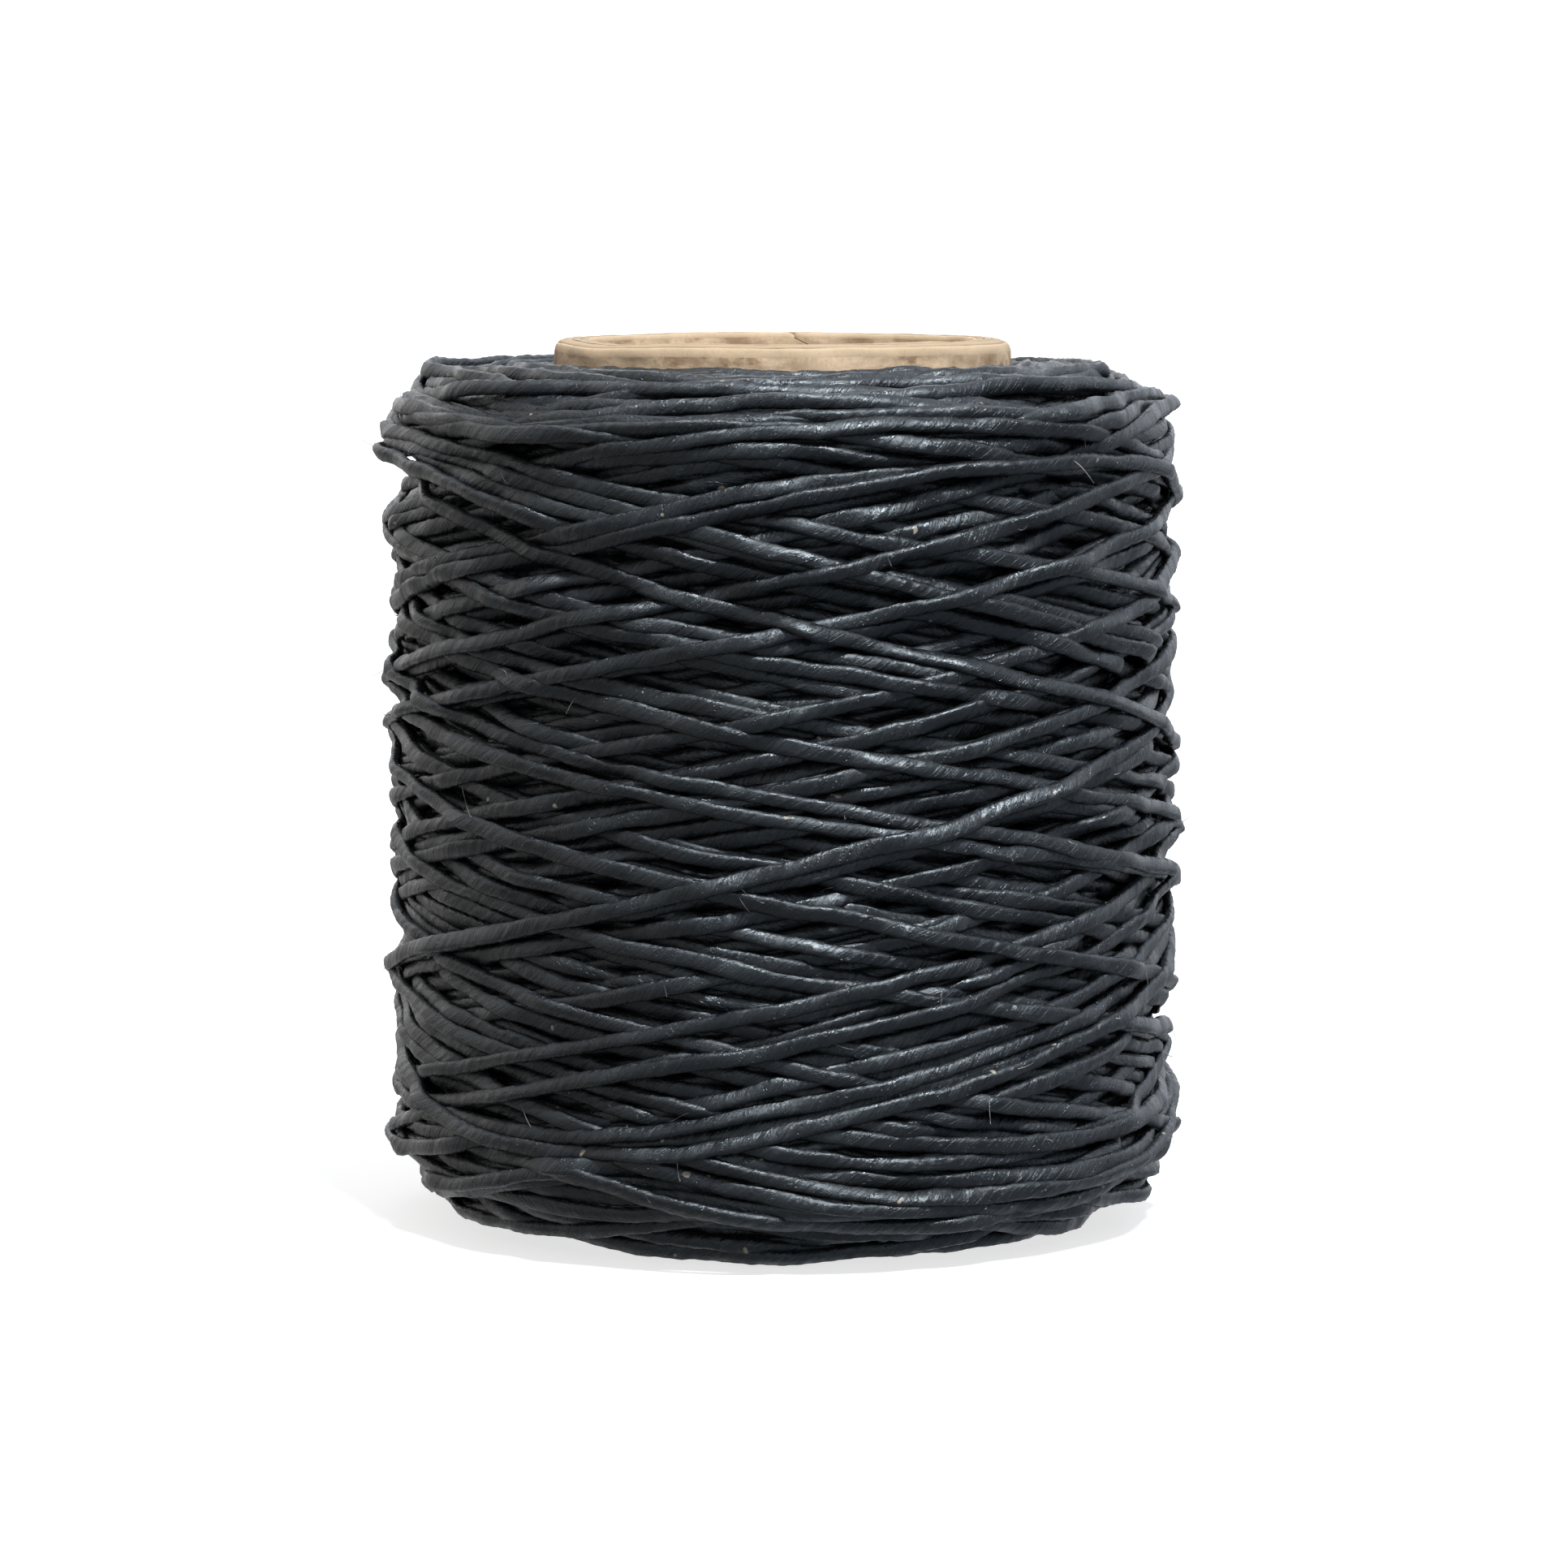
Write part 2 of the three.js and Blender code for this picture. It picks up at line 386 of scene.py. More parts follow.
def plan_pass(generator, package, start_angle, start_z, upwards):
    """Tries several ends and wind ratios and returns the pass that lands lowest."""
    radius = package.middle_radius() + THREAD_THICKNESS / 2
    if upwards:
        edge, reversals = PACKAGE_TOP, TOP_REVERSALS
        edge_drop = EDGE_ROOM + shoulder_depth(radius, TOP_SHOULDER, 0)
    else:
        edge, reversals = PACKAGE_BOTTOM, BOTTOM_REVERSALS
        edge_drop = EDGE_ROOM + shoulder_depth(radius, BOTTOM_SHOULDER, BOTTOM_CUT)
    helix = HELIX_ANGLE + generator.normal(0, 1) * HELIX_SPREAD
    best = None
    for _ in range(TRIAL_PASSES):
        depth = edge_drop + reversals * generator.uniform(0, 1) ** REVERSAL_CROWDING
        end_z = edge - depth if upwards else edge + depth
        trial_helix = helix * (1 + generator.uniform(-TRIAL_SPREAD, TRIAL_SPREAD))
        turns = abs(end_z - start_z) / (TAU * radius * math.tan(trial_helix))
        count = int(turns * THETA_CELLS)
        angle = start_angle + np.arange(count) * TAU / THETA_CELLS
        z = start_z + (end_z - start_z) * traverse(count)
        column, row = package.cells(angle, z)
        excess = package.height[column, row] - target_surface(z, radius)
        high = np.maximum(excess, 0)
        last = max(1, int(LANDING_SHARE * count))
        landing = excess[-last:]
        cost = excess.mean() + HIGH_COST * high.mean() + LANDING_COST * landing.mean()
        if best is None or cost < best[0]:
            best = (cost, angle, z)
    _, angle, z = best
    count = len(angle)
    fade = end_fade(count, WANDER_FADE)
    z = z + WANDER * fade * smooth_noise(generator, count, WANDER_SPACING)
    return angle, slide(package, angle, z)


def last_pass(package, start_angle, start_z):
    """Climbs to the place where the thread's free end is tucked in."""
    half = 0.5 * END_LENGTH / PACKAGE_RADIUS
    part = (END_ANGLE + half - start_angle) / TAU % 1
    rise = END_HEIGHT + 0.5 * END_LENGTH * math.sin(HELIX_ANGLE) - start_z
    wanted = rise / (TAU * PACKAGE_RADIUS * math.tan(HELIX_ANGLE))
    turns = min((part + n for n in range(3)), key=lambda t: abs(math.log(t / wanted)))
    count = int(turns * THETA_CELLS)
    angle = start_angle + np.arange(count) * TAU / THETA_CELLS
    return angle, start_z + 2 * rise * traverse(2 * count)[:count]


def blurred(values, reach, axis, wraps):
    """Averages a map along one axis over `reach` cells each way."""
    kernel = bell(2 * reach + 3)[1:-1]
    mode = "wrap" if wraps else "edge"
    widths = [(0, 0), (0, 0)]
    widths[axis] = (reach, reach)
    padded = np.pad(values, widths, mode=mode)
    return np.apply_along_axis(np.convolve, axis, padded, kernel, "valid")


def press_into_shape(thread, package):
    """Evens out the package's broad hills, as the winder's press roller does.

    Hollows are filled out too, but less and less towards the top, where strands
    would otherwise stand off the package's edge.
    """
    angle, z, radius, tilt = thread
    top = blurred(package.height, PRESS_REACH, 0, True)
    top = blurred(top, PRESS_REACH // 2, 1, False)
    column, row = package.cells(angle, z)
    heights = np.arange(Z_CELLS) * Z_CELL
    wanted = target_surface(heights, PACKAGE_RADIUS) - SURFACE_MARGIN
    built = np.maximum(top - CORE_RADIUS, PRESS_FROM)
    share = (wanted[None, :] - CORE_RADIUS) / built
    least, most = PRESS_SHARE
    near_top = [PACKAGE_TOP - depth for depth in UNSWOLLEN_TOP]
    swelling = np.interp(heights, near_top, (most, 1.0))
    share = np.clip(share, least, swelling[None, :])
    pressed = CORE_RADIUS + (radius - CORE_RADIUS) * share[column, row]
    return np.array([angle, z, pressed, tilt])


def wind_package():
    """Winds the thread until the package is full.

    Returns the thread as angle, z, radius and tilt at every step of its length.
    """
    generator = np.random.default_rng(SEED)
    package = Package()
    laid = []
    start_top = START_BOTTOM + START_LENGTH
    rows = np.arange(int(START_BOTTOM / Z_CELL), int(start_top / Z_CELL))
    column = int(START_ANGLE / TAU * THETA_CELLS)
    for beside in range(-START_HALF_CELLS, START_HALF_CELLS + 1):
        package.height[column + beside, rows] += THREAD_THICKNESS
    angle_now = START_ANGLE
    z_now = START_BOTTOM
    upwards = True
    full = PACKAGE_RADIUS - SURFACE_MARGIN
    finished = False
    while not finished:
        finished = upwards and package.middle_radius() >= full
        if finished:
            angle, z = last_pass(package, angle_now, z_now)
        else:
            angle, z = plan_pass(generator, package, angle_now, z_now, upwards)
        step = TAU / THETA_CELLS * package.middle_radius()
        slope = np.arctan2(np.gradient(z), step)
        radius, tilt = package.lay(angle, z, slope)
        laid.append(np.array([angle, z, radius, tilt]))
        angle_now = angle[-1] + TAU / THETA_CELLS
        z_now = z[-1]
        upwards = not upwards
    thread = press_into_shape(np.concatenate(laid, axis=1), package)
    return unevenly_laid(generator, thread)


def unevenly_laid(generator, thread):
    """Evens out the jumps from the height map, then lets the thread stray a little."""
    angle, z, radius, tilt = thread
    smoothed = []
    for values in (radius, tilt):
        padded = np.pad(values, PRESSED_STEPS // 2, mode="edge")
        smoothed.append(np.convolve(padded, bell(PRESSED_STEPS), mode="valid"))
    radius, tilt = smoothed
    count = len(angle)
    sway = QUICK_SWAY_SHARE * smooth_noise(generator, count, QUICK_SWAY_SPACING)
    sway = sway + smooth_noise(generator, count, SWAY_SPACING)
    z = np.maximum(z + SWAY * sway, FLOOR_ROOM)
    radius = radius + RIPPLE * smooth_noise(generator, count, RIPPLE_SPACING)
    tilt = tilt + TILT_NOISE * smooth_noise(generator, count, TILT_SPACING)
    return np.array([angle, z, radius, tilt])


# --- Meshes ------------------------------------------------------------------


def new_mesh_object(name, vertices, quads, caps=()):
    """Mesh object from arrays: quads are rows of four, caps are longer polygons."""
    mesh = bpy.data.meshes.new(name)
    loops = np.concatenate([quads.ravel(), *caps]).astype(np.int32)
    sizes = np.concatenate([np.full(len(quads), 4), [len(cap) for cap in caps]])
    starts = np.concatenate([[0], np.cumsum(sizes)[:-1]])
    mesh.vertices.add(len(vertices))
    mesh.vertices.foreach_set("co", vertices.astype(np.float32).ravel())
    mesh.loops.add(len(loops))
    mesh.loops.foreach_set("vertex_index", loops)
    mesh.polygons.add(len(sizes))
    mesh.polygons.foreach_set("loop_start", starts.astype(np.int32))
    mesh.polygons.foreach_set("use_smooth", sizes == 4)
    mesh.update(calc_edges=True)
    mesh.validate()
    obj = bpy.data.objects.new(name, mesh)
    bpy.context.scene.collection.objects.link(obj)
    return obj


def tube_quads(rings, sides):
    """Faces of a tube whose vertices run ring after ring."""
    ring = np.arange(rings - 1)[:, None]
    side = np.arange(sides)[None, :]
    following = (side + 1) % sides
    corners = [
        ring * sides + side,
        ring * sides + following,
        (ring + 1) * sides + following,
        (ring + 1) * sides + side,
    ]
    return np.stack(corners, axis=-1).reshape(-1, 4)


def bake_strips(mesh, rings, sides, rows):
    """Lays the tube out in straight rows, as the UV layer used for baking."""
    per_row = math.ceil((rings - 1) / rows)
    ring = np.repeat(np.arange(rings - 1), sides)
    side = np.tile(np.arange(sides), rings - 1)
    along = (ring % per_row)[:, None] + np.array([0, 0, 1, 1])[None, :]
    around = side[:, None] + np.array([0, 1, 1, 0])[None, :]
    row = (ring // per_row)[:, None]
    uv = np.zeros((len(mesh.loops), 2), np.float32)
    used = 4 * len(ring)
    length = 1 - 2 * BAKE_MARGIN
    height = 1 - 2 * BAKE_ROW_MARGIN
    uv[:used, 0] = (BAKE_MARGIN + length * along / per_row).ravel()
    uv[:used, 1] = ((row + BAKE_ROW_MARGIN + height * around / sides) / rows).ravel()
    layer = mesh.uv_layers.new(name="OFBake")
    layer.data.foreach_set("uv", uv.ravel())


def thread_frame(thread):
    """Centre line of the thread with its outward and across directions."""
    angle, z, radius, tilt = thread
    outward = np.stack([np.cos(angle), np.sin(angle), np.zeros_like(angle)], axis=1)
    centre = outward * radius[:, None]
    centre[:, 2] = z
    along = np.gradient(centre, axis=0)
    along /= np.linalg.norm(along, axis=1)[:, None]
    outward -= along * np.sum(outward * along, axis=1)[:, None]
    outward /= np.linalg.norm(outward, axis=1)[:, None]
    across = np.cross(outward, along)
    turned_out = outward * np.cos(tilt)[:, None] - across * np.sin(tilt)[:, None]
    turned_across = across * np.cos(tilt)[:, None] + outward * np.sin(tilt)[:, None]
    return centre, turned_out, turned_across


def signed_power(values, exponent):
    """Power of the values' size that keeps their sign."""
    return np.sign(values) * np.abs(values) ** exponent


def thread_mesh(name, thread, length, twist, shape, sides):
    """Flat waxed strand of several twisted plies along a stretch of the thread."""
    centre, outward, across = thread_frame(thread)
    width, thickness = shape
    side = TAU * np.arange(sides) / sides
    turn = side[None, :] + twist[:, None]
    lobes = 1 + PLY_RELIEF * np.cos(PLY_COUNT * turn)
    broad, flat = THREAD_SQUARENESS
    x = 0.5 * width[:, None] * lobes * signed_power(np.cos(side), broad)[None, :]
    y = 0.5 * thickness[:, None] * lobes * signed_power(np.sin(side), flat)[None, :]
    points = centre[:, None, :] + across[:, None, :] * x[:, :, None]
    points += outward[:, None, :] * y[:, :, None]
    rings = len(length)
    last = (rings - 1) * sides
    caps = (np.arange(sides)[::-1], last + np.arange(sides))
    obj = new_mesh_object(name, points.reshape(-1, 3), tube_quads(rings, sides), caps)
    around = np.stack([np.cos(turn), np.sin(turn)], axis=-1)
    place = np.concatenate(
        [np.repeat(length[:, None, None] / MM, sides, axis=1), around], axis=-1
    )
    attribute = obj.data.attributes.new("strand", "FLOAT_VECTOR", "POINT")
    attribute.data.foreach_set("vector", place.astype(np.float32).ravel())
    bake_strips(obj.data, rings, sides, BAKE_ROWS)
    return obj


def strand_twist(generator, length):
    """Turn of the plies along the thread, tighter in some places than others."""
    uneven = UNEVEN_TWIST * smooth_noise(generator, len(length), TWIST_SPACING)
    return TAU * length / (PLY_COUNT * PLY_LENGTH) + uneven


def strand_shape(generator, length):
    """Width and thickness along the thread, which is nowhere quite even."""
    wider = np.ones(len(length))
    thicker = np.ones(len(length))
    for spacing, width_share, thickness_share in UNEVENNESS:
        noise = smooth_noise(generator, len(length), spacing)
        wider += width_share * noise
        thicker += thickness_share * noise
    return np.array([THREAD_WIDTH * wider, THREAD_THICKNESS * thicker])


def winding_starts(radius):
    """Indices at which each of the record's windings and the seen part begin."""
    bands = np.linspace(CORE_RADIUS, PACKAGE_RADIUS, WINDING_COUNT + 1)
    reach = 2 * THETA_CELLS
    window = np.ones(2 * reach + 1) / (2 * reach + 1)
    level = np.convolve(np.pad(radius, reach, mode="edge"), window, "valid")
    level = np.maximum.accumulate(level)
    starts = [int(np.searchsorted(level, band)) for band in bands[:-1]]
    return starts, int(np.searchsorted(level, PACKAGE_RADIUS - SURFACE_DEPTH))


def build_thread():
    """Makes the whole thread, in pieces that follow the record's windings."""
    thread = wind_package()
    strides = np.hypot(np.diff(thread[1]), np.diff(thread[0]) * thread[2, 1:])
    length = np.concatenate([[0], np.cumsum(strides)])
    generator = np.random.default_rng(SEED + 1)
    shape = strand_shape(generator, length)
    twist = strand_twist(generator, length)
    end_start = int(np.searchsorted(length, length[-1] - END_LENGTH))
    starts, surface = winding_starts(thread[2])
    starts.append(end_start)
    pieces = []

    def add(name, part, sides, node):
        piece = thread_mesh(
            name, thread[:, part], length[part], twist[part], shape[:, part], sides
        )
        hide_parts(node)
        pieces.append(piece)

    for number in range(WINDING_COUNT):
        low, high = starts[number], starts[number + 1] + 1
        for first, last in ((low, min(high, surface + 1)), (max(low, surface), high)):
            seen = first >= surface
            sides = SEEN_SIDES if seen else HIDDEN_SIDES
            steps = needed_steps(thread[1], first, last, seen)
            rings = MAX_TRIANGLES // (2 * sides)
            for begin in range(0, len(steps) - 1, rings):
                name = f"thread_{number + 1}_{len(pieces) + 1:02d}"
                part = steps[begin : begin + rings + 1]
                add(name, part, sides, f"winding_{number + 1}")
    add("thread_free_end", np.arange(end_start, len(length)), SEEN_SIDES, "thread_end")
    pieces.append(start_strand())
    print("thread", round(length[-1], 1), "m,", len(pieces), "pieces")
    return thread[:, surface:], pieces


def needed_steps(z, first, last, seen):
    """Steps that a stretch's mesh needs: few where other strands cover it."""
    step = np.arange(first, last)
    bare = (z[step] < PACKAGE_BOTTOM + BARE_END) | (z[step] > PACKAGE_TOP - BARE_END)
    return step[seen | bare | (step % HIDDEN_STRIDE == 0)]


def start_strand():
    """The thread's first end, laid up the core under everything else."""
    z = np.linspace(START_BOTTOM + START_LENGTH, START_BOTTOM, START_RINGS)
    radius = CORE_RADIUS + START_LIFT
    thread = np.array([np.full_like(z, START_ANGLE), z, np.full_like(z, radius), 0 * z])
    length = z[0] - z
    generator = np.random.default_rng(SEED + 2)
    shape = strand_shape(generator, length)
    twist = strand_twist(generator, length)
    piece = thread_mesh("thread_first_end", thread, length, twist, shape, SEEN_SIDES)
    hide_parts("thread_start")
    return piece


def build_fibres(thread):
    """Stray filaments that stand off the strands, and a tuft at the cut end."""
    generator = np.random.default_rng(SEED + 3)
    centre, outward, across = thread_frame(thread)
    count = len(centre)
    top = thread[2] > PACKAGE_RADIUS - FIBRE_DEPTH
    roots = generator.choice(np.nonzero(top)[0], FIBRE_COUNT, replace=False)
    roots = np.concatenate([roots, np.full(TUFT_COUNT, count - 1)])
    steps = np.linspace(0, 1, FIBRE_RINGS)[:, None]
    side = TAU * np.arange(FIBRE_SIDES) / FIBRE_SIDES
    points, quads = [], []
    for number, root in enumerate(roots):
        along = centre[root] - centre[root - 1]
        along /= np.linalg.norm(along)
        tuft = number >= FIBRE_COUNT
        spread = generator.uniform(-1, 1, 4)
        reach = generator.uniform(*(TUFT_REACH if tuft else FIBRE_REACH))
        start = centre[root] + outward[root] * FIBRE_ROOT[0]
        start = start + across[root] * FIBRE_ROOT[1] * spread[0]
        ahead = 1.0 if tuft else FIBRE_AHEAD * spread[3]
        path = along * ahead + across[root] * FIBRE_ASIDE * spread[1]
        path = path + outward[root] * FIBRE_OUTWARD
        rise = TUFT_DROOP if tuft else FIBRE_LIFT * spread[0]
        curl = across[root] * spread[2] + outward[root] * rise
        line = start + reach * (steps * path + FIBRE_CURL * steps**2 * curl)
        thin = FIBRE_RADIUS * (1 - FIBRE_TAPER * steps)
        ring = np.cos(side)[None, :, None] * outward[root]
        ring = ring + np.sin(side)[None, :, None] * (across[root] + along)
        points.append((line[:, None, :] + thin[:, :, None] * ring).reshape(-1, 3))
        first = number * FIBRE_SIDES * FIBRE_RINGS
        quads.append(tube_quads(FIBRE_RINGS, FIBRE_SIDES) + first)
    fibres = new_mesh_object("stray_fibres", np.concatenate(points), np.concatenate(quads))
    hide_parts("winding_5")
    return fibres


# --- The core's plies --------------------------------------------------------


def end_profile(radius):
    """How far the core's ends are worn back at each radius."""
    drop = np.zeros_like(radius)
    corners = ((CORE_RADIUS, -1, OUTER_ROUNDING), (CORE_BORE, 1, BORE_ROUNDING))
    for corner, side, rounding in corners:
        inset = np.clip(rounding - (radius - corner) * side, 0, rounding)
        drop += rounding - np.sqrt(rounding**2 - inset**2)
    return drop


def end_wave(angle):
    """Dents and low places round the core's ends."""
    wave = np.full_like(angle, 0.5)
    for depth, count, turn in DENTS:
        wave += depth * np.sin(count * angle + turn)
    from_knock = (angle - KNOCK_ANGLE + math.pi) % TAU - math.pi
    knock = np.exp(-(from_knock**2) / KNOCK_SPREAD)
    return WAVE_DEPTH * wave + KNOCK_DEPTH * knock


def weather(angle, z, radius):
    """Moves points of the crisp core to its handled shape, the same for all plies."""
    for end, side, turned in ((CORE_LENGTH, -1, TOP_WAVE_TURN), (0, 1, 0)):
        depth = (z - end) * side
        fade = np.clip(1 - depth / END_WEAR_REACH, 0, 1) ** 2
        z = z + side * fade * (end_profile(radius) + end_wave(angle + turned))
    exposed = np.clip((z - PACKAGE_TOP + 1 * MM) / (2 * MM), 0, 1)
    bulge = np.sin(7 * angle + 900 * z) * np.sin(3 * angle - 1400 * z + 1)
    bulge += 0.6 * np.sin(17 * angle + 2100 * z)
    return z, radius + (COVERED_BULGE + EXPOSED_BULGE * exposed) * bulge


def core_strip(name, number, inner, outer):
    """One ply of the core: a strip wound as a helix, its edges meeting at a seam."""
    generator = np.random.default_rng(SEED + 10 + number)
    first = SEAM_GAP - SEAM_LEAD + STRIP_TIP
    seam = np.linspace(first, CORE_LENGTH - STRIP_TIP, STRIP_RINGS)
    seam_start = math.radians(LINER_SEAM_DEG + number * SEAM_STAGGER_DEG)
    angle = seam_start + TAU * seam / SEAM_LEAD
    low = np.clip(seam, 0, CORE_LENGTH)
    high = np.clip(seam + SEAM_LEAD - SEAM_GAP, 0, CORE_LENGTH)
    scale = np.minimum(1, (high - low) / (4 * STRIP_EDGE[-1]))[:, None]
    edge = np.array(STRIP_EDGE)[None, :]
    up = low[:, None] + scale * edge
    down = high[:, None] - scale * edge
    share = np.linspace(0, 1, STRIP_ROWS)[None, 1:-1]
    middle = up[:, -1:] + (down[:, -1:] - up[:, -1:]) * share
    climb = np.concatenate([up, middle, down[:, ::-1]], axis=1)
    rows = climb.shape[1]
    across = np.linspace(0, 1, RIM_STEPS)[None, 1:-1]
    low_rim = np.repeat(low[:, None], RIM_STEPS - 2, 1)
    high_rim = np.repeat(high[:, None], RIM_STEPS - 2, 1)
    z = np.concatenate([climb[:, ::-1], low_rim, climb, high_rim], axis=1)
    inwards = outer + (inner - outer) * across[0]
    outwards = inner + (outer - inner) * across[0]
    radius = np.concatenate(
        [np.full(rows, outer), inwards, np.full(rows, inner), outwards]
    )
    radius = np.repeat(radius[None, :], len(seam), 0)
    angles = np.repeat(angle[:, None], z.shape[1], 1)
    fuzz = smooth_noise(generator, len(seam), 2) + smooth_noise(generator, len(seam), 9)
    back = EDGE_FUZZ * (0.5 * fuzz + generator.uniform(*PLY_WEAR))[:, None]
    for end, side in ((CORE_LENGTH, -1), (0, 1)):
        z = z + side * back * np.clip(1 - (z - end) * side / EDGE_FUZZ_DEPTH, 0, 1)
    z, radius = weather(angles, z, radius)
    points = np.stack([radius * np.cos(angles), radius * np.sin(angles), z], axis=-1)
    sides = z.shape[1]
    last = (len(seam) - 1) * sides
    caps = (np.arange(sides)[::-1], last + np.arange(sides))
    quads = tube_quads(len(seam), sides)
    strip = new_mesh_object(name, points.reshape(-1, 3), quads, caps)
    cut = np.zeros(sides)
    cut[rows - 1 : rows + RIM_STEPS - 1] = 1
    cut[2 * rows + RIM_STEPS - 3 :] = 1
    cut[0] = 1
    attribute = strip.data.attributes.new("cut", "FLOAT", "POINT")
    attribute.data.foreach_set("value", np.tile(cut, len(seam)).astype(np.float32))
    return strip


def build_core():
    """All the plies from the bore outwards, as (mesh, node) pairs."""
    board = (CORE_RADIUS - CORE_BORE - 2 * KRAFT_THICKNESS - 5 * GLUE_LINE) / BOARD_PLIES
    names = ["core_liner", *(f"core_ply_{n + 1}" for n in range(BOARD_PLIES)), "core_wrap"]
    inner = CORE_BORE
    plies = []
    for number, node in enumerate(names):
        thickness = board if "ply" in node else KRAFT_THICKNESS
        ply = core_strip(node + "_paper", number, inner, inner + thickness)
        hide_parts(node)
        plies.append((ply, node))
        inner += thickness + GLUE_LINE
    return plies


# --- Materials ---------------------------------------------------------------


class Nodes:
    """Short calls for building the node tree of a material or of the world."""

    def __init__(self, owner, shader="Principled BSDF"):
        owner.use_nodes = True
        self.owner = owner
        self.tree = owner.node_tree
        self.shader = self.tree.nodes[shader]

    def add(self, kind, inputs=None, **settings):
        """New node with its settings, and its inputs set or linked."""
        node = self.tree.nodes.new(kind)
        for key, value in settings.items():
            setattr(node, key, value)
        for key, value in (inputs or {}).items():
            if isinstance(value, bpy.types.NodeSocket):
                self.tree.links.new(value, node.inputs[key])
            else:
                node.inputs[key].default_value = value
        return node

    def noise(self, vector, scale, detail=3.0, roughness=0.55):
        """Noise texture of a scale, in repeats for each unit of the vector."""
        node = self.add(
            "ShaderNodeTexNoise",
            {"Vector": vector, "Scale": scale, "Detail": detail, "Roughness": roughness},
        )
        return node.outputs["Fac"]

    def stretch(self, vector, factors):
        """Scales a vector by a different factor along each axis."""
        node = self.add(
            "ShaderNodeVectorMath", {0: vector, 1: factors}, operation="MULTIPLY"
        )
        return node.outputs["Vector"]

    def ramp(self, value, stops):
        """Colour for a value, from (position, colour) stops."""
        node = self.add("ShaderNodeValToRGB", {"Fac": value})
        elements = node.color_ramp.elements
        while len(elements) < len(stops):
            elements.new(0.5)
        for element, (position, colour) in zip(elements, stops):
            element.position = position
            element.color = (*colour, 1)
        return node.outputs["Color"]

    def curve(self, value, points, highest):
        """Smooth curve through (place, height) points, none above `highest`."""
        node = self.add("ShaderNodeFloatCurve", {"Value": value})
        curve = node.mapping.curves[0]
        for _ in range(len(points) - 2):
            curve.points.new(0.5, 0.5)
        for point, (place, height) in zip(curve.points, points):
            point.location = (place, height / highest)
        node.mapping.update()
        return self.math("MULTIPLY", node.outputs["Value"], highest)

    def remap(self, value, source, target):
        """Turns one range of values into another, clamped at its ends."""
        low, high = source
        new_low, new_high = target
        node = self.add(
            "ShaderNodeMapRange",
            {"Value": value, 1: low, 2: high, 3: new_low, 4: new_high},
        )
        return node.outputs["Result"]

    def mix(self, factor, one, other):
        """Blend of two colours: all `other` where the factor is 1."""
        node = self.add(
            "ShaderNodeMix", {"Factor": factor, 6: one, 7: other}, data_type="RGBA"
        )
        return node.outputs[2]

    def bump(self, height, strength, distance, normal=None):
        """Relief from a height, on top of an earlier relief if one is given."""
        inputs = {"Height": height, "Strength": strength, "Distance": distance}
        if normal is not None:
            inputs["Normal"] = normal
        return self.add("ShaderNodeBump", inputs).outputs["Normal"]

    def math(self, operation, one, other):
        """Arithmetic on two values."""
        node = self.add("ShaderNodeMath", {0: one, 1: other}, operation=operation)
        return node.outputs["Value"]

    def ply_height(self, strand):
        """Three rounded ridges round the strand: cos 3a from the stored cos a."""
        split = self.add("ShaderNodeSeparateXYZ", {"Vector": strand})
        cosine = split.outputs["Y"]
        cube = self.math("POWER", cosine, 3.0)
        fourfold = self.math("MULTIPLY", cube, 4.0)
        threefold = self.math("MULTIPLY", cosine, 3.0)
        ridge = self.math("SUBTRACT", fourfold, threefold)
        return self.math("MULTIPLY", ridge, 0.5)

    def plug(self, name, value):
        """Sets an input of the shader, or links a socket to it."""
        if isinstance(value, bpy.types.NodeSocket):
            self.tree.links.new(value, self.shader.inputs[name])
        else:
            self.shader.inputs[name].default_value = value


